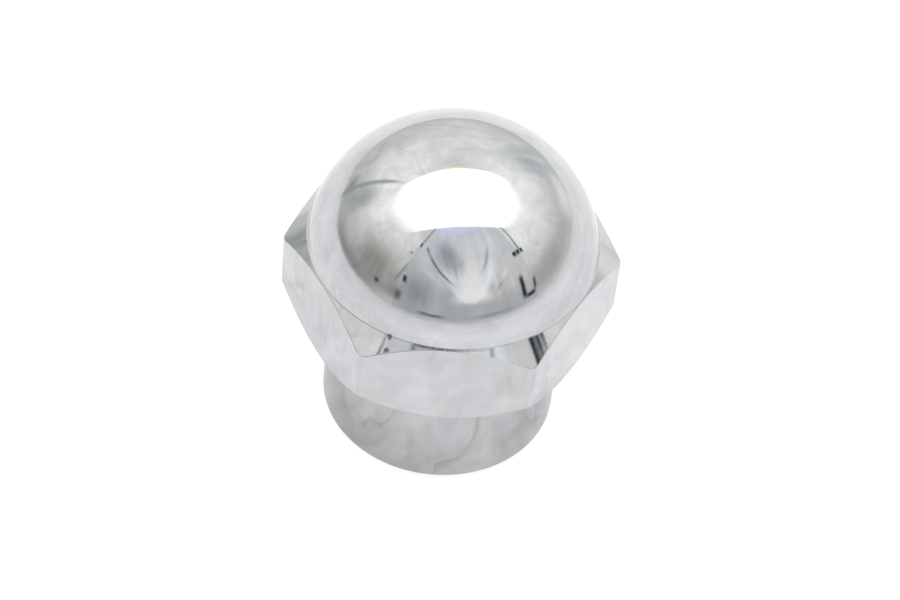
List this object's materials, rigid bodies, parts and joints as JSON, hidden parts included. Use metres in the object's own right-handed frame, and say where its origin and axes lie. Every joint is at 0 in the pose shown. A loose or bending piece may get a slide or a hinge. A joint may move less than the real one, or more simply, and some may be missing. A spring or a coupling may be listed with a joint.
{
  "type": "axle nut",
  "caption": "Domed hexagonal axle nut with a round collar and a blind threaded hole, polished and chrome plated, for closing the end of a wheel axle.",
  "frame": {"origin": "centre of the collar's end face, on which the nut stands", "axes": "+Z along the nut's axis, from the collar's end to the crown of the dome; a flat of the hexagon faces -Y and two of its corners lie on X"},
  "size_m": [0.0326, 0.0286, 0.0344],
  "materials": {
    "chrome_plate": "mirror-polished chrome plate on turned steel"
  },
  "bodies": {
    "root": {"axle_nut": "chrome_plate"}
  },
  "joints": []
}
